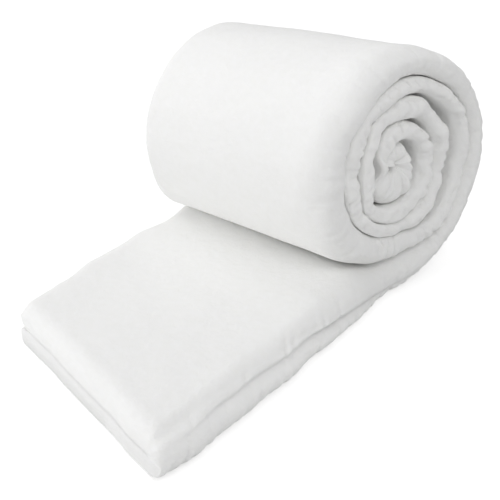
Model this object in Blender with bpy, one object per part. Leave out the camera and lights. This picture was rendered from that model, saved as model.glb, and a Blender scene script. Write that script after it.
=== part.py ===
# Roll of polyester batting: a thick soft sheet, folded in half along its length and wound up,
# with its last part left lying flat. Metres, +Z up, X along the roll's axis, tail towards -Y.
import math

import bpy
import numpy as np
from mathutils import Vector

folded_width = 0.457      # the sheet's width after the fold
axis_height = 0.270       # of the roll's middle over the floor, at the fold's end of the roll
far_end_size = 0.885      # of the raw-edge end of the roll, over the fold's end
roll_turn_in_plan = 0.026  # the roll's axis runs back by this at the fold's end, forward at the other
tail_length = (0.577, 0.648)  # from under the axis, along the raw edges and along the fold
tail_shift = (0.111, 0.139)   # of the tail's end towards +X, along the raw edges and along the fold
tail_thickness = 0.074
touching_gap = 0.0012     # between layers that lie on each other
raw_edge_radius = 0.011
core_end = 4.72           # turns from under the roll to the sheet's inner end

# The wound sheet's outer side: turns from under the roll, radius in mm, loose gap below the sheet in mm
winding = [
    (0.000, 270, 0), (0.125, 268, 0), (0.250, 246, 0), (0.3125, 230, 0), (0.375, 220, 0),
    (0.4375, 220, 0), (0.500, 224, 0), (0.625, 217, 0), (0.750, 208, 0), (0.875, 204, 0),
    (1.000, 200, 0), (1.125, 214, 10), (1.250, 208, 24), (1.375, 174, 6),
    (1.500, 163, 0), (1.625, 152, 0), (1.750, 133, 0), (1.875, 134, 0),
    (2.000, 144, 0), (2.125, 166, 2), (2.250, 144, 4), (2.375, 133, 9),
    (2.500, 128, 0), (2.625, 113, 2), (2.750, 95, 19), (2.875, 107, 3),
    (3.000, 116, 0), (3.125, 120, 2), (3.250, 100, 22), (3.375, 84, 3),
    (3.500, 84, 0), (3.625, 73, 1), (3.750, 46, 3), (3.875, 68, 2),
    (4.000, 80, 0), (4.125, 72, 0), (4.250, 38, 0), (4.375, 42, 0),
    (4.500, 44, 0), (4.625, 36, 0), (4.750, 28, 0),
]
core_hole = 0.004         # half the hole left inside the last turn
far_end_sag = 0.014       # of the outer turn onto the tail, at the raw-edge end

# The crease along the fold: distance along the tail (0 under the roll's axis, 1 at its end, less
# than 0 in the roll), height over the sheet's thickness, depth in mm, bulge below it in mm
fold_crease = [
    (-0.50, 0.50, 3, 0), (-0.25, 0.46, 3, 0), (-0.10, 0.34, 3, 2), (0.00, 0.27, 5, 6),
    (0.10, 0.32, 9, 10), (0.25, 0.46, 11, 14), (0.45, 0.60, 9, 16), (0.70, 0.69, 6, 16),
    (0.88, 0.72, 3, 15), (1.00, 0.72, 2, 12),
]

# How far each turn's fold stands out at the end of the roll: turns, mm
fold_reach = [
    (0.0, 0), (0.5, 1), (1.0, -2), (1.5, -4), (2.0, -6), (2.5, -2), (3.0, -7), (3.5, -3),
    (4.0, -8), (4.75, -11),
]


def curve(rows, column, at):
    """Smooth curve through the rows' values, the first column being the place."""
    x = np.array([row[0] for row in rows], float)
    y = np.array([row[column] for row in rows], float)
    slope = np.gradient(y, x)
    at = min(max(at, x[0]), x[-1])
    i = min(int(np.searchsorted(x, at, side="right")) - 1, len(x) - 2)
    span = x[i + 1] - x[i]
    s = (at - x[i]) / span
    a = (1 + 2 * s) * (1 - s) ** 2 * y[i] + s * (1 - s) ** 2 * span * slope[i]
    b = s * s * (3 - 2 * s) * y[i + 1] + s * s * (s - 1) * span * slope[i + 1]
    return a + b


def blend(a, b, s):
    return a + (b - a) * s


def outer_radius(turn):
    return curve(winding, 1, turn) / 1000


def thickness(turn):
    """Thickness of the folded sheet at a turn, negative turns being the tail."""
    if turn < 0:
        wrap = outer_radius(0) - outer_radius(1) - touching_gap
        rise = min(-turn / 0.3, 1.0)
        rise = rise * rise * (3 - 2 * rise)
        return blend(wrap, tail_thickness, rise)
    if turn >= core_end - 1:
        filled = outer_radius(turn) - outer_radius(min(turn + 1, core_end)) - touching_gap
        s = min((turn - core_end + 1) / 0.3, 1.0)
        return blend(filled, outer_radius(turn) - core_hole, s)
    gap = max(curve(winding, 2, turn), 0) / 1000 + touching_gap
    return outer_radius(turn) - outer_radius(turn + 1) - gap


def place(turn, u, v):
    """Point of the sheet: u along the axis from the middle, v from the outer side inwards."""
    side = u / folded_width + 0.5
    size = blend(far_end_size, 1.0, side)
    shift = roll_turn_in_plan * 2 * (side - 0.5)
    if turn < 0:
        a = -turn
        length = blend(tail_length[0], tail_length[1], side)
        skew = blend(tail_shift[0], tail_shift[1], side)
        bulge = -0.018 * math.sin(math.pi * min(a, 1)) * max(1 - 2 * side, 0)
        bulge += 0.0022 * math.sin(24 * a + 1) * max(1 - 3 * side, 0)
        rise = 1 + 0.02 * math.sin(7 * a + 5 * side) * min(a * 4, 1)
        length += 0.0012 * math.sin(17 * side) + 0.0010 * math.sin(41 * side)
        y = shift * (1 - a) - length * a
        return Vector((u + skew * a + bulge, y, v * blend(size, 1.0, min(a * 2, 1)) * rise))
    angle = 2 * math.pi * turn
    sag = far_end_sag * (1 - side) ** 2 * math.exp(-((turn - 0.87) / 0.055) ** 2)
    r = outer_radius(turn) - v + sag
    y = shift + size * r * math.sin(angle)
    z = size * (axis_height - r * math.cos(angle))
    return Vector((u, y, max(z, 0.0)))


columns = [0.0, 0.012, 0.07, 0.28, 0.52, 0.74]  # over the sheet's folded width, from the raw edges
arc_points = 9


def section(turn, squeeze=1.0):
    """The folded sheet's cut across its length: its outer and its inner line, from raw edge to raw edge."""
    t = thickness(turn)
    slit = touching_gap
    layer = (t - slit) / 2
    parted = 0.012 * max(-turn - 0.7, 0) / 0.3
    uneven = 1.6 * math.sin(34 * turn + 0.6) + 1.3 * math.sin(21 * turn * (1 + 0.1 * turn))
    reach = (curve(fold_reach, 1, max(turn, 0)) + uneven) / 1000
    right = folded_width / 2 + reach
    left = -folded_width / 2
    depth = min(0.75 * t, 0.052)
    height = curve(fold_crease, 1, -turn)
    dent = curve(fold_crease, 2, -turn) / 1000
    flare = curve(fold_crease, 3, -turn) / 1000
    outer, inner = [], []
    for j, f in enumerate(columns):
        u = left + f * folded_width
        round_off = (0.30, 0.07)[j] * layer if j < 2 else 0
        outer.append((u, round_off))
        inner.append((u, layer - round_off - parted * max(0.3 - f, 0)))
    middle = math.asin(max(min(1 - 2 * height, 0.95), -0.95))
    half = arc_points // 2
    angles = [blend(math.pi / 2, middle, i / half) for i in range(half)]
    angles += [blend(middle, -math.pi / 2, i / half) for i in range(half + 1)]
    for phi in angles:
        c = abs(math.cos(phi)) ** 0.92
        s = math.copysign(abs(math.sin(phi)) ** 0.92, math.sin(phi))
        v = t / 2 * (1 - s)
        pull = dent * math.exp(-((v / t - height) / 0.16) ** 2)
        pull -= flare * max(1 - v / t / (height + 0.2), 0) ** 0.5
        outer.append((right - depth + depth * c - pull, v))
        inner.append((right - 0.5 * t + slit * c - 0.3 * pull, t / 2 - slit / 2 * math.sin(phi)))
    for j in range(len(columns) - 1, -1, -1):
        u = left + columns[j] * folded_width
        round_off = (0.30, 0.07)[j] * layer if j < 2 else 0
        outer.append((u, t - round_off))
        inner.append((u, t - layer + round_off + parted * max(0.3 - columns[j], 0)))
    if squeeze < 1:
        keep = 0.12
        for i, (p, q) in enumerate(zip(outer, inner)):
            mu, mv = blend(q[0], p[0], keep), blend(q[1], p[1], keep)
            outer[i] = (mu + (p[0] - mu) * squeeze, mv + (p[1] - mv) * squeeze)
            inner[i] = (mu + (q[0] - mu) * squeeze, mv + (q[1] - mv) * squeeze)
    return outer, inner


def ring(turn, squeeze=1.0):
    outer, inner = section(turn, squeeze)
    tip = raw_edge_radius * 0.35 * squeeze
    first = (outer[0][0] - tip, (outer[0][1] + inner[0][1]) / 2)
    last = (outer[-1][0] - tip, (outer[-1][1] + inner[-1][1]) / 2)
    return [place(turn, u, v) for u, v in outer + [last] + inner[::-1] + [first]]


def stations():
    tail_end = [(-1.0 - 0.012, 0.35), (-1.0 - 0.008, 0.75)]
    tail = [(-1.0 + i / 13, 1.0) for i in range(13)]
    wound = []
    turn = 0.0
    while turn < core_end - 0.03:
        wound.append((turn, 1.0))
        turn += 1 / 36 if turn < 0.999 else 1 / 18
    inner_end = [(core_end, 1.0), (core_end + 0.03, 0.75), (core_end + 0.05, 0.35)]
    return tail_end + tail + wound + inner_end


def batting():
    rings = [ring(turn, squeeze) for turn, squeeze in stations()]
    n = len(rings[0])
    half = (n - 2) // 2
    points = [p for r in rings for p in r]
    faces = []
    for k in range(len(rings) - 1):
        for j in range(n):
            a, b = k * n + j, k * n + (j + 1) % n
            faces.append((a, a + n, b + n, b))
    for k, flip in ((0, False), (len(rings) - 1, True)):
        base = k * n
        quads = [(base + j, base + j + 1, base + n - 3 - j, base + n - 2 - j) for j in range(half - 1)]
        quads.append((base + half - 1, base + half, base + half + 1))
        quads.append((base + n - 1, base, base + n - 2))
        faces += [tuple(reversed(q)) if flip else q for q in quads]
    low = [min(p[i] for p in points) for i in range(3)]
    high = [max(p[i] for p in points) for i in range(3)]
    middle = Vector(((low[0] + high[0]) / 2, (low[1] + high[1]) / 2, low[2]))
    mesh = bpy.data.meshes.new("batting")
    mesh.from_pydata([p - middle for p in points], [], faces)
    mesh.validate()
    return mesh


def material():
    soft = bpy.data.materials.new("white polyester batting")
    soft.use_nodes = True
    shader = soft.node_tree.nodes["Principled BSDF"]
    shader.inputs["Base Color"].default_value = (0.86, 0.86, 0.84, 1)
    shader.inputs["Roughness"].default_value = 0.95
    return soft


for old in list(bpy.data.objects):
    bpy.data.objects.remove(old, do_unlink=True)

mesh = batting()
mesh.materials.append(material())
bpy.context.collection.objects.link(bpy.data.objects.new("batting", mesh))
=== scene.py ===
import math
import random

import bpy
import numpy as np
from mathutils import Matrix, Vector, noise


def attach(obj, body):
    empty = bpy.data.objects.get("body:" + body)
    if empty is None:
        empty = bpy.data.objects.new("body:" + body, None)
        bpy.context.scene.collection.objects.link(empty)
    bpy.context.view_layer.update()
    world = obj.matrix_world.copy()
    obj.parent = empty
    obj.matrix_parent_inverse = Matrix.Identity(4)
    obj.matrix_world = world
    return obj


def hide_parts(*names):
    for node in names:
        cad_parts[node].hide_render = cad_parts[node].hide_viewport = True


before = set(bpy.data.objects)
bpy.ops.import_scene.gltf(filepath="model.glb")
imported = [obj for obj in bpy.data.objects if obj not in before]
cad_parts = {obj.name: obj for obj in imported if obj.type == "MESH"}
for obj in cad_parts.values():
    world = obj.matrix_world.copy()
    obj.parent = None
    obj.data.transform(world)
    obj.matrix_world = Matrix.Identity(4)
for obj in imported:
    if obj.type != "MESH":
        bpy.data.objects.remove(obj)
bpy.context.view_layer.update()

# A roll of polyester batting: a thick sheet of white fibre, folded in half along its length and
# wound up, with its last part lying flat in front. Metres; X runs along the roll, tail towards -Y.


def linearColour(hexColour):
    parts = [int(hexColour[i:i + 2], 16) / 255 for i in (1, 3, 5)]
    return [c / 12.92 if c <= 0.04045 else ((c + 0.055) / 1.055) ** 2.4 for c in parts] + [1.0]


def smooth(low, high, value):
    s = np.clip((np.asarray(value, float) - low) / (high - low), 0, 1)
    return s * s * (3 - 2 * s)


def mix(a, b, s):
    return a + (b - a) * s


def hill(value, middle, width):
    return math.exp(-((value - middle) / width) ** 2)


batting = dict(
    foldedWidth=0.457,             # the sheet is 0.914 wide before the fold
    axisHeight=0.270,
    farEndSize=0.885,              # the raw-edge end of the roll is wound tighter
    rollTurnInPlan=0.026,
    tailLength=(0.574, 0.645),     # raw edges, fold
    tailShift=(0.111, 0.139),
    tailThickness=0.074,
    tailLoosens=0.3,               # of the tail's length, from the roll to its full thickness
    tailUneven=0.02,               # of its thickness
    rawEdgeBow=0.018,              # the tail's raw-edge side curves in
    rawEdgeWave=(0.0022, 24),      # and wavers: how much, how often
    endWaves=((0.0012, 17), (0.0010, 41)),
    endLean=0.006,                 # the foot of the tail's end stands out
    leanFrom=0.94,                 # along the tail
    endParted=0.0055,              # the notch between the two layers at the far corner
    noseRise=0.014,                # the tail is pushed up in front of the roll
    noseAt=(-0.16, 0.07),          # along the tail, how wide
    cornerDent=(0.92, 0.80, 6),    # along the tail, round the fold, mm deep
    cornerDentSize=(0.09, 0.15),
    rollGap=0.0012,                # between layers wound on each other
    foldSlit=0.0006,               # between the two halves of the folded sheet
    endSlit=0.00002,               # held shut at the tail's end
    edgeRound=0.011,               # of the raw edges
    coreEnd=4.72,                  # turns
    coreHole=0.004,
    coreCloses=0.3,                # turns, the last of them filling the middle
    farEndSag=0.014,               # the outer turn sinks onto the tail at the raw-edge end
    sagAt=(0.87, 0.055),           # turns: where, how wide
    settle=(0.0711, -0.1917, 0.0),  # the middle of the whole, taken off every point
    firmness=0.55,
)

# turns from under the roll, radius in mm, loose gap below the sheet in mm
winding = [
    (0.000, 270, 0), (0.125, 268, 0), (0.250, 246, 0), (0.3125, 230, 0), (0.375, 220, 0),
    (0.4375, 220, 0), (0.500, 224, 0), (0.625, 217, 0), (0.750, 208, 0), (0.875, 204, 0),
    (1.000, 200, 0), (1.125, 214, 15), (1.250, 208, 25), (1.375, 174, 9),
    (1.500, 163, 0), (1.625, 152, 0), (1.750, 133, 0), (1.875, 134, 0),
    (2.000, 144, 0), (2.125, 166, 2), (2.250, 144, 4), (2.375, 133, 9),
    (2.500, 128, 0), (2.625, 113, 12), (2.750, 95, 20), (2.875, 107, 13),
    (3.000, 116, 0), (3.125, 120, 9), (3.250, 100, 24), (3.375, 84, 11),
    (3.500, 84, 0), (3.625, 73, 1), (3.750, 46, 3), (3.875, 68, 2),
    (4.000, 80, 0), (4.125, 72, 0), (4.250, 38, 0), (4.375, 42, 0),
    (4.500, 44, 0), (4.625, 36, 0), (4.750, 28, 0),
]

# distance along the tail (below 0 in the roll), height over thickness, depth in mm, bulge in mm
foldCrease = [
    (-0.50, 0.50, 3, 0), (-0.25, 0.46, 3, 0), (-0.10, 0.34, 3, 2), (0.00, 0.27, 5, 6),
    (0.10, 0.32, 9, 10), (0.25, 0.46, 11, 14), (0.45, 0.60, 10, 16), (0.70, 0.69, 9, 16),
    (0.88, 0.72, 5, 15), (1.00, 0.72, 1, 12),
]

# turns, mm that the fold stands out at the end of the roll
foldReach = [
    (0.0, 0), (0.5, 1), (1.0, -2), (1.5, -4), (2.0, -6), (2.5, -2), (3.0, -7), (3.5, -3),
    (4.0, -8), (4.75, -11),
]


class Curve:
    # a smooth line through rows of values
    def __init__(self, rows, column):
        self.x = np.array([row[0] for row in rows], float)
        self.y = np.array([row[column] for row in rows], float)
        self.slope = np.gradient(self.y, self.x)

    def __call__(self, at):
        at = np.clip(np.asarray(at, float), self.x[0], self.x[-1])
        i = np.clip(np.searchsorted(self.x, at, side="right") - 1, 0, len(self.x) - 2)
        span = self.x[i + 1] - self.x[i]
        s = (at - self.x[i]) / span
        return ((1 + 2 * s) * (1 - s) ** 2 * self.y[i] + s * (1 - s) ** 2 * span * self.slope[i]
                + s * s * (3 - 2 * s) * self.y[i + 1] + s * s * (s - 1) * span * self.slope[i + 1])


radiusCurve = Curve(winding, 1)
gapCurve = Curve(winding, 2)
creaseHeight, creaseDepth, creaseBulge = (Curve(foldCrease, c) for c in (1, 2, 3))
reachCurve = Curve(foldReach, 1)


def outerRadius(turn):
    return float(radiusCurve(turn)) / 1000


def thicknessAt(turn):
    p = batting
    if turn < 0:
        wrap = outerRadius(0) - outerRadius(1) - p["rollGap"]
        return mix(wrap, p["tailThickness"], float(smooth(0, p["tailLoosens"], -turn)))
    if turn >= p["coreEnd"] - 1:
        filled = outerRadius(turn) - outerRadius(min(turn + 1, p["coreEnd"])) - p["rollGap"]
        closed = min((turn - p["coreEnd"] + 1) / p["coreCloses"], 1)
        return mix(filled, outerRadius(turn) - p["coreHole"], closed)
    gap = max(float(gapCurve(turn)), 0) / 1000 + p["rollGap"]
    return outerRadius(turn) - outerRadius(turn + 1) - gap


def placeRing(turn, u, v):
    # u along the roll from its middle, v from the sheet's outer side inwards
    p = batting
    side = u / p["foldedWidth"] + 0.5
    size = mix(p["farEndSize"], 1.0, side)
    shift = p["rollTurnInPlan"] * 2 * (side - 0.5)
    if turn < 0:
        a = -turn
        length = mix(p["tailLength"][0], p["tailLength"][1], side)
        skew = mix(p["tailShift"][0], p["tailShift"][1], side)
        bow = -p["rawEdgeBow"] * math.sin(math.pi * min(a, 1)) * np.maximum(1 - 2 * side, 0)
        much, often = p["rawEdgeWave"]
        bow = bow + much * math.sin(often * a + 1) * np.maximum(1 - 3 * side, 0)
        rise = 1 + p["tailUneven"] * np.sin(7 * a + 5 * side) * min(a * 4, 1)
        for much, often in p["endWaves"]:
            length = length + much * np.sin(often * side)
        lean = p["endLean"] * float(smooth(p["leanFrom"], 1.0, a)) * (1 - v / p["tailThickness"])
        x = u + skew * a + bow
        y = shift * (1 - a) - length * a - lean
        z = v * mix(size, 1.0, min(a * 2, 1)) * rise
    else:
        angle = 2 * math.pi * turn
        r = outerRadius(turn) - v + p["farEndSag"] * (1 - side) ** 2 * hill(turn, *p["sagAt"])
        x = u
        y = shift + size * r * math.sin(angle)
        z = size * (p["axisHeight"] - r * math.cos(angle))
    out = np.stack([x, y, np.maximum(z, 0.0)], 1)
    return out - np.array(p["settle"])


# Creases across the fold. Spacing, depth, width and slant are in mm; middle and reach are places
# round the fold, 0 on its outer side and 1 on its inner

creases = dict(
    first=-640.0,                # mm along the sheet, 0 under the roll
    tailUntil=60,
    rollSpacing=(10, 32),
    rollDepth=(3.5, 11.0),
    rollWidth=(4.5, 12.0),
    rollSlant=30,
    rollMiddles=(0.28, 0.40, 0.50, 0.60, 0.74),
    rollReach=(0.16, 0.42),
    shoulder=0.35,               # how much of it shows on the smooth outer turn
    shoulderTurns=(0.03, 0.95),
    tailSpacing=(8, 20),
    tailDepth=(2.5, 6.5),
    tailWidth=(4.0, 8.0),
    tailSlant=(30, 80),
    tailMiddles=(0.22, 0.30, 0.36, 0.66),
    tailReach=(0.10, 0.20),
    near=70,                     # mm, creases farther off don't count
    lip=(0.42, 2.4),             # the raised lips beside a crease: height, width
    seed=11,
)

stepsPerTurn = 200               # in the table of lengths
meanTail = 620                   # mm, between raw edges and fold

turnLength = np.concatenate([[0], np.cumsum([
    2 * math.pi / stepsPerTurn
    * (outerRadius(i / stepsPerTurn) + outerRadius((i + 1) / stepsPerTurn)) / 2 * 1000
    for i in range(int(batting["coreEnd"] * stepsPerTurn) + 20)])])


def arcLength(turn):
    # mm along the sheet's outer side, 0 under the roll
    if turn < 0:
        return turn * meanTail
    return turnLength[np.clip(int(round(turn * stepsPerTurn)), 0, len(turnLength) - 1)]


def makeCreases():
    p = creases
    pick = random.Random(p["seed"])
    rows = []
    at = p["first"]
    last = float(turnLength[-1])
    shoulderStart, shoulderEnd = (arcLength(turn) for turn in p["shoulderTurns"])
    while at < last:
        part = "tail" if at < p["tailUntil"] else "roll"
        middle = pick.choice(p[part + "Middles"])
        if part == "tail":
            slant = pick.uniform(*p["tailSlant"])
        else:
            slant = pick.uniform(-1, 1) * p["rollSlant"]
        shown = p["shoulder"] if shoulderStart < at < shoulderEnd else 1
        rows.append(dict(
            at=at,
            depth=pick.uniform(*p[part + "Depth"]) * shown,
            width=pick.uniform(*p[part + "Width"]),
            middle=middle + pick.uniform(-0.05, 0.05),
            reach=pick.uniform(*p[part + "Reach"]),
            slant=slant,
        ))
        at += pick.uniform(*p[part + "Spacing"])
    return rows


creaseRows = makeCreases()
creaseAt = np.array([row["at"] for row in creaseRows])
creaseArray = {k: np.array([row[k] for row in creaseRows]) for k in creaseRows[0]}


def creasesAt(along, w):
    # along: mm along the sheet; w: place round the fold. Gives how deep and how proud, in mm
    near = np.abs(creaseAt - along) < creases["near"]
    if not near.any():
        return np.zeros_like(w), np.zeros_like(w)
    c = {k: v[near][:, None] for k, v in creaseArray.items()}
    x = (along - c["at"] - c["slant"] * (w[None, :] - c["middle"])) / c["width"]
    fade = c["depth"] * np.exp(-((w[None, :] - c["middle"]) / c["reach"]) ** 2)
    high, wide = creases["lip"]
    deep = (fade * np.exp(-np.abs(x) ** 1.5)).sum(0)
    proud = (fade * high * np.exp(-(x / wide) ** 2)).sum(0)
    return deep, proud


# where the flat part's points stand, in parts of the folded width from the raw edge
flatColumns = [0.0, 0.004, 0.010, 0.022, 0.045, 0.085, 0.15, 0.24, 0.34, 0.44, 0.54, 0.63,
               0.70, 0.76, 0.80]
fineFrom = 12          # from this column to the fold the stations are twice as close
arcPoints = 41         # round the fold

foldRound = dict(
    lying=0.75,            # how far the round reaches back on the tail, of the thickness
    most=0.052,            # and no farther than this
    shoulder=0.066,        # the wide shoulder of the outer turn
    tight=0.30,            # wound tight, of the thickness
    loosened=0.46,         # added where the turns part
    partAt=(0.32, 0.20),   # up at the back: place in the turn, how wide
    changing=(0.30, 90),   # how much it varies, over how many mm
)


def foldDepths(turn, t):
    # how far the fold's round reaches back along the sheet, on its outer and on its inner side
    p = foldRound
    lying = min(p["lying"] * t, p["most"])
    if turn < 0.05:
        return lying, lying
    much, size = p["changing"]
    loose = hill(turn % 1, *p["partAt"])
    loose += much * noise.noise(Vector((arcLength(turn) / size, 3.1, 0.4)))
    tight = t * (p["tight"] + p["loosened"] * max(min(loose, 1), 0))
    inside = mix(lying, tight, float(smooth(0.05, 0.25, turn)))
    shoulder = mix(p["most"], p["shoulder"], float(smooth(0.2, 0.45, turn)))
    if turn < 1.15:
        return mix(shoulder, tight, float(smooth(0.86, 1.12, turn))), inside
    return tight, inside


# mm high and how often in a turn, or over how many mm
bandWaver = dict(
    waves=((1.6, 34), (1.3, 21)),
    large=(8.5, 75),
    small=(4.0, 31),
)

# mm high, over how many mm along the sheet, how closely set across it
puffs = dict(
    large=(3.0, 150, 7.0),
    middle=(1.6, 55, 18.0),
    small=(0.5, 22, 45.0),
)


def bandReach(turn):
    # how far the fold stands out at the end of the roll, uneven as soft bands are
    p = bandWaver
    (slow, often), (quick, oftener) = p["waves"]
    waver = slow * math.sin(often * turn + 0.6)
    waver += quick * math.sin(oftener * turn * (1 + 0.1 * turn))
    if turn > 0.1:
        at = arcLength(turn)
        (much, size), (less, smaller) = p["large"], p["small"]
        bumps = (much * noise.noise(Vector((at / size, 0.3, 7.7)))
                 + less * noise.noise(Vector((at / smaller, 5.3, 2.1))))
        waver += bumps * min(turn * 0.8, 1)
    return (float(reachCurve(max(turn, 0))) + waver) / 1000


def puffsAt(along, w, across):
    # mm; along the sheet, round the fold, across the sheet
    large, middle, small = (puffs[k] for k in ("large", "middle", "small"))
    return np.array([
        large[0] * noise.noise(Vector((along / large[1], a * large[2] + 3, 1.5)))
        + middle[0] * noise.noise(Vector((along / middle[1], b * middle[2], 9.0)))
        + small[0] * noise.noise(Vector((along / small[1], b * small[2], 4.0)))
        for a, b in zip(w * 0.5, across)])


def roughen(turn, outer, t):
    # puffs and creases, along the line's own normal and only where nothing lies on the sheet
    n = len(flatColumns)
    place = np.arange(len(outer))
    onFold = (place >= n) & (place < n + arcPoints)
    outerSide = place < n + arcPoints // 2
    cols = np.array(flatColumns)
    w = np.concatenate([cols - 1, np.linspace(0, 1, arcPoints), 2 - cols[::-1]])
    tangent = np.gradient(outer, axis=0)
    tangent /= np.maximum(np.linalg.norm(tangent, axis=1), 1e-9)[:, None]
    normal = np.stack([tangent[:, 1], -tangent[:, 0]], 1)
    sideways = np.abs(normal[:, 0])
    facing = np.clip(sideways, 0, 1) ** 1.5
    bare = np.zeros(len(outer))
    if turn < 0:
        bare = np.where(outerSide, 0.0, float(smooth(0.10, 0.30, -turn)))
    elif turn < 0.95:
        bare = np.where(outerSide, float(smooth(0.04, 0.14, turn) * smooth(0.95, 0.86, turn)), 0.0)
    along = arcLength(turn)
    dip, proud = creasesAt(along, w)
    puff = puffsAt(along, w, outer[:, 0])
    if turn < -0.6:
        dentAlong, dentRound, deep = batting["cornerDent"]
        long, wide = batting["cornerDentSize"]
        puff -= deep * np.exp(-((turn + dentAlong) / long) ** 2 - ((w - dentRound) / wide) ** 2)
    onBands = onFold * min(t / 0.045, 1.0)
    move = puff * np.maximum(bare, facing * onFold)
    move = move + proud * facing * onBands - dip * smooth(0.12, 0.5, sideways) * onBands
    return outer + normal * (move / 1000)[:, None]


def foldSection(turn, squeeze=1.0):
    # the folded sheet cut across its length: outer line and the slit's line, raw edge to raw edge
    p = batting
    t = thicknessAt(turn)
    if turn < 0:
        t += p["noseRise"] * hill(turn, *p["noseAt"])
    slit = mix(p["foldSlit"], p["endSlit"], float(smooth(0.9, 0.97, -turn)))
    layer = (t - slit) / 2
    right = p["foldedWidth"] / 2 + bandReach(turn)
    left = -p["foldedWidth"] / 2

    # the flat part, its raw edges rounded
    cols = np.array(flatColumns)
    u = left + cols * p["foldedWidth"]
    into = np.clip(1 - (u - left) / (min(0.5 * layer, p["edgeRound"]) * 1.6), 0, 1)
    roundOff = layer * 0.42 * (1 - np.sqrt(np.clip(1 - into ** 2, 0, 1)))
    away = p["endParted"] * float(smooth(0.80, 0.97, -turn)) * np.clip(1 - cols / 0.085, 0, 1)

    # the fold, with points closest at its crease
    depth, inside = foldDepths(turn, t)
    height = float(creaseHeight(-turn))
    dent = float(creaseDepth(-turn)) / 1000 * float(smooth(0.5, 0.15, turn))
    flare = float(creaseBulge(-turn)) / 1000
    half = arcPoints // 2
    middle = math.asin(max(min(1 - 2 * height, 0.95), -0.95))
    phi = np.concatenate([np.linspace(math.pi / 2, middle, half, endpoint=False),
                          np.linspace(middle, -math.pi / 2, arcPoints - half)])
    c = np.abs(np.cos(phi)) ** 0.92
    s = np.copysign(np.abs(np.sin(phi)) ** 0.92, np.sin(phi))
    v = t / 2 * (1 - s)
    off = v / t - height
    pull = dent * (0.8 * np.exp(-(off / 0.15) ** 2) + np.exp(-np.abs(off) / 0.06))
    pull = pull - flare * np.maximum(1 - v / t / (height + 0.2), 0) ** 0.5
    arc = np.stack([right - depth + depth * c - pull, v], 1)
    slitArc = np.stack([right - 0.5 * t + slit * c - 0.3 * pull, t / 2 - slit / 2 * np.sin(phi)], 1)
    arc[:, 0] += np.where(v > t / 2, (depth - inside) * (1 - c), 0)

    outer = np.concatenate([np.stack([u, roundOff], 1), arc, np.stack([u, t - roundOff], 1)[::-1]])
    inner = np.concatenate([np.stack([u, layer - roundOff * 0.6 - away], 1), slitArc,
                            np.stack([u, t - layer + roundOff * 0.6 + away], 1)[::-1]])
    outer = roughen(turn, outer, t)
    if squeeze < 1:
        # the upper edge of the tail's end is well rounded, the lower stands on the floor
        low = min(squeeze * 8.6, 0.86 + 0.14 * squeeze) if turn < 0 else squeeze
        part = np.where(outer[:, 1] > t / 2, squeeze, low)[:, None]
        outer = inner + (outer - inner) * part
    return outer, inner


def sheetRing(turn, squeeze=1.0):
    outer, inner = foldSection(turn, squeeze)
    tip = batting["foldSlit"] + 0.0035 * squeeze
    first = (outer[0] + inner[0]) / 2 - (tip, 0)
    last = (outer[-1] + inner[-1]) / 2 - (tip, 0)
    line = np.concatenate([outer, [last], inner[::-1], [first]])
    return placeRing(turn, line[:, 0], line[:, 1])


# turn (below 0 along the tail) and how much of the full thickness is left; the last ring of each
# end is nearly closed. An odd number of rows in all, as the coarse columns use every second one
tailEndRings = [(-1.0170, 0.02), (-1.0168, 0.10), (-1.0155, 0.30), (-1.0110, 0.55),
                (-1.0040, 0.76), (-0.9930, 0.90), (-0.9800, 0.975)]
coreEndRings = [(4.72, 1.0), (4.727, 0.92), (4.735, 0.7), (4.74, 0.35), (4.7405, 0.1)]
tailSteps = 150
windingSteps = [(0, 1, 360), (1, 2, 216), (2, 3, 144), (3, 4, 108), (4, 4.72, 56)]


def sheetStations():
    # close together where the camera sees creases
    rows = tailEndRings + [(-1.0 + i / tailSteps, 1.0) for i in range(5, tailSteps)]
    for start, stop, steps in windingSteps:
        rows += [(start + (stop - start) * i / steps, 1.0) for i in range(steps)]
    return rows + coreEndRings


def sheetFaces(index, fine, rings):
    # quads, and threes of triangles where the fine stations meet the coarse ones
    n = len(fine)
    faces = []
    for k in range(0, rings - 1, 2):
        for j in range(n):
            i = (j + 1) % n
            if fine[j] and fine[i]:
                faces.append((index[k, j], index[k + 1, j], index[k + 1, i], index[k, i]))
                faces.append((index[k + 1, j], index[k + 2, j], index[k + 2, i], index[k + 1, i]))
            elif fine[j]:
                faces.append((index[k, j], index[k + 1, j], index[k, i]))
                faces.append((index[k + 1, j], index[k + 2, i], index[k, i]))
                faces.append((index[k + 1, j], index[k + 2, j], index[k + 2, i]))
            elif fine[i]:
                faces.append((index[k, j], index[k + 1, i], index[k, i]))
                faces.append((index[k, j], index[k + 2, j], index[k + 1, i]))
                faces.append((index[k + 2, j], index[k + 2, i], index[k + 1, i]))
            else:
                faces.append((index[k, j], index[k + 2, j], index[k + 2, i], index[k, i]))
    return faces


def endFaces(index, n, k, flip):
    half = (n - 2) // 2
    rows = [(j, j + 1, n - 3 - j, n - 2 - j) for j in range(half - 1)]
    rows += [(half - 1, half, half + 1), (n - 1, 0, n - 2)]
    faces = [tuple(index[k, j] for j in row) for row in rows]
    return [tuple(reversed(face)) for face in faces] if flip else faces


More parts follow.
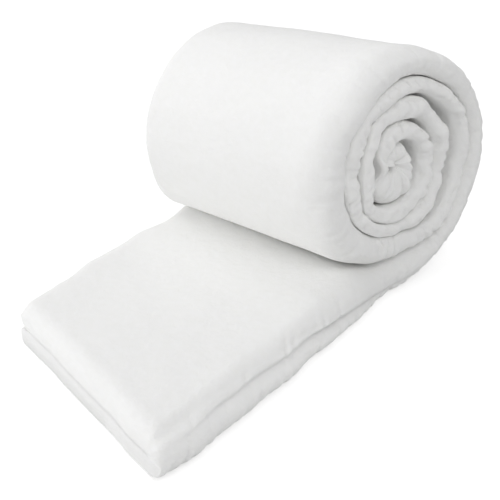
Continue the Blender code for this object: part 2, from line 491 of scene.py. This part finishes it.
def buildBatting():
    rings = [sheetRing(turn, squeeze) for turn, squeeze in sheetStations()]
    n = len(rings[0])
    last = len(rings) - 1
    lastFine = 2 * len(flatColumns) + arcPoints - 1 - fineFrom
    fine = [fineFrom <= j <= lastFine for j in range(n)]
    index = {}
    points = []
    for k, ring in enumerate(rings):
        for j in range(n):
            if fine[j] or k % 2 == 0:
                index[k, j] = len(points)
                points.append(tuple(ring[j]))
    faces = sheetFaces(index, fine, len(rings))
    faces += endFaces(index, n, 0, False) + endFaces(index, n, last, True)
    mesh = bpy.data.meshes.new("batting_web")
    mesh.from_pydata(points, [], faces)
    mesh.validate()
    mesh.polygons.foreach_set("use_smooth", [True] * len(mesh.polygons))
    # the two halves meet in a crisp line at the sheet's ends
    innerLine = range(len(flatColumns) * 2 + arcPoints + 1, n - 1)
    crisp = {index[k, j] for k in (0, last) for j in innerLine}
    for edge in mesh.edges:
        if edge.vertices[0] in crisp and edge.vertices[1] in crisp:
            edge.use_edge_sharp = True
    piece = bpy.data.objects.new("batting_web", mesh)
    bpy.context.collection.objects.link(piece)
    return piece


web = buildBatting()
print("batting built:", len(web.data.vertices), "points,",
      sum(len(f.vertices) - 2 for f in web.data.polygons), "triangles")


def addNode(tree, kind, settings=None, links=None):
    # links: socket of the new node -> (node, its output) or a plain value
    node = tree.nodes.new(kind)
    for key, value in (settings or {}).items():
        setattr(node, key, value)
    for socket, source in (links or {}).items():
        if isinstance(source, tuple) and hasattr(source[0], "outputs"):
            tree.links.new(source[0].outputs[source[1]], node.inputs[socket])
        else:
            node.inputs[socket].default_value = source
    return node


cardedPolyester = dict(
    colour="#FBFBFA",
    shadeColour="#F5F5F2",     # thinner, matted places
    roughness=0.92,
    ior=1.45,
    specular=0.15,
    translucent=0.7,
    scatter=0.0045,            # light goes some 5 mm into the fibres
    sheen=0.25,                # the fuzz of loose fibre ends
    sheenRoughness=0.6,
    clumpSize=14,              # mm, cloudy clumps of fibre
    clumpBump=(0.35, 0.005),   # strength, height
    fibreSize=1.6,             # mm, drawn coarser than the 0.02 mm fibre so that it shows
    fibreBump=(0.45, 0.0014),
    fibreRun=(1.0, 0.35, 0.35),
)


def makeCardedPolyester():
    # polyester staple fibre, carded, cross-laid and bonded with hot air: matt, white and cloudy,
    # soft at every edge, with light glowing through its surface
    p = cardedPolyester
    material = bpy.data.materials.new("carded_polyester_batting")
    material.use_nodes = True
    tree = material.node_tree
    tree.nodes.clear()
    place = addNode(tree, "ShaderNodeTexCoord")
    clump = addNode(tree, "ShaderNodeTexNoise", dict(noise_dimensions="3D"),
                    {"Vector": (place, "Object"), "Scale": 1000 / p["clumpSize"], "Detail": 3.0,
                     "Roughness": 0.55})
    stretched = addNode(tree, "ShaderNodeMapping", dict(vector_type="POINT"),
                        {"Vector": (place, "Object"), "Scale": p["fibreRun"]})
    fibre = addNode(tree, "ShaderNodeTexNoise", dict(noise_dimensions="3D"),
                    {"Vector": (stretched, "Vector"), "Scale": 1000 / p["fibreSize"],
                     "Detail": 2.0, "Roughness": 0.6, "Distortion": 0.8})
    tone = addNode(tree, "ShaderNodeMix", dict(data_type="RGBA"),
                   {0: (clump, 0), 6: linearColour(p["shadeColour"]), 7: linearColour(p["colour"])})
    lowBump = addNode(tree, "ShaderNodeBump", dict(),
                      {"Height": (clump, 0), "Strength": p["clumpBump"][0],
                       "Distance": p["clumpBump"][1]})
    bump = addNode(tree, "ShaderNodeBump", dict(),
                   {"Height": (fibre, 0), "Strength": p["fibreBump"][0],
                    "Distance": p["fibreBump"][1], "Normal": (lowBump, "Normal")})
    shader = addNode(tree, "ShaderNodeBsdfPrincipled", dict(subsurface_method="RANDOM_WALK"),
                     {"Base Color": (tone, 2), "Roughness": p["roughness"], "IOR": p["ior"],
                      "Specular IOR Level": p["specular"], "Subsurface Weight": p["translucent"],
                      "Subsurface Radius": (1.0, 1.0, 0.97), "Subsurface Scale": p["scatter"],
                      "Sheen Weight": p["sheen"], "Sheen Roughness": p["sheenRoughness"],
                      "Normal": (bump, "Normal")})
    addNode(tree, "ShaderNodeOutputMaterial", None, {"Surface": (shader, "BSDF")})
    return material


polyester = makeCardedPolyester()
web.data.materials.append(polyester)
print("material made")

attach(web, "root")
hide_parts("batting")


studio = dict(
    floorColour="#E9E9E9",
    floorRoughness=0.9,
    floorHalf=9,               # metres
    floorGlow=0.50,            # seen by the camera alone
    skyLight=0.50,
    # where, how wide, watts
    lamps=(("front", (-1.7, -3.0, 0.75), 2.0, 38), ("top", (-0.5, -0.3, 3.0), 2.4, 14),
           ("side", (-3.0, 0.2, 1.5), 2.0, 12), ("upperRight", (1.8, -0.7, 2.5), 1.0, 16)),
)


def buildStudio():
    p = studio
    white = (1, 1, 1, 1)
    mesh = bpy.data.meshes.new("floor")
    far = p["floorHalf"]
    mesh.from_pydata([(-far, -far, 0), (far, -far, 0), (far, far, 0), (-far, far, 0)], [],
                     [(0, 1, 2, 3)])
    floor = bpy.data.objects.new("floor", mesh)
    bpy.context.collection.objects.link(floor)
    paper = bpy.data.materials.new("white_paper_backdrop")    # matt coated paper: even, no gloss
    paper.use_nodes = True
    tree = paper.node_tree
    tree.nodes.clear()
    shader = addNode(tree, "ShaderNodeBsdfPrincipled", None,
                     {"Base Color": linearColour(p["floorColour"]),
                      "Roughness": p["floorRoughness"]})
    glow = addNode(tree, "ShaderNodeEmission", None,
                   {"Color": white, "Strength": p["floorGlow"]})
    lit = addNode(tree, "ShaderNodeAddShader", None, {0: (shader, 0), 1: (glow, 0)})
    path = addNode(tree, "ShaderNodeLightPath")
    seen = addNode(tree, "ShaderNodeMixShader", None,
                   {0: (path, "Is Camera Ray"), 1: (shader, 0), 2: (lit, 0)})
    addNode(tree, "ShaderNodeOutputMaterial", None, {"Surface": (seen, 0)})
    mesh.materials.append(paper)
    world = bpy.data.worlds.new("studio")
    bpy.context.scene.world = world
    world.use_nodes = True
    tree = world.node_tree
    tree.nodes.clear()
    soft = addNode(tree, "ShaderNodeBackground", None, {"Color": white, "Strength": p["skyLight"]})
    backdrop = addNode(tree, "ShaderNodeBackground", None, {"Color": white, "Strength": 1.0})
    path = addNode(tree, "ShaderNodeLightPath")
    both = addNode(tree, "ShaderNodeMixShader", None,
                   {0: (path, "Is Camera Ray"), 1: (soft, 0), 2: (backdrop, 0)})
    addNode(tree, "ShaderNodeOutputWorld", None, {"Surface": (both, 0)})
    aim = Vector((0, 0, 0.15))
    for name, spot, size, power in p["lamps"]:
        lamp = bpy.data.lights.new(name, "AREA")
        lamp.shape = "DISK"
        lamp.size = size
        lamp.energy = power
        light = bpy.data.objects.new(name, lamp)
        light.location = spot
        light.rotation_euler = (aim - Vector(spot)).to_track_quat("-Z", "Y").to_euler()
        bpy.context.collection.objects.link(light)


buildStudio()

view = dict(
    target=(-0.0289, 0.0150, 0.0982),
    azimuth=47.73,
    elevation=28.975,
    distance=2.4328,
    lens=93.8,
)


def buildCamera():
    p = view
    az, el = math.radians(p["azimuth"]), math.radians(p["elevation"])
    back = Vector((math.sin(az) * math.cos(el), -math.cos(az) * math.cos(el), math.sin(el)))
    data = bpy.data.cameras.new("camera")
    data.lens = p["lens"]
    data.sensor_width = 36
    camera = bpy.data.objects.new("camera", data)
    camera.location = Vector(p["target"]) + back * p["distance"]
    camera.rotation_euler = (-back).to_track_quat("-Z", "Y").to_euler()
    bpy.context.collection.objects.link(camera)
    bpy.context.scene.camera = camera


buildCamera()
bpy.context.scene.view_settings.view_transform = "Standard"
print("studio ready")
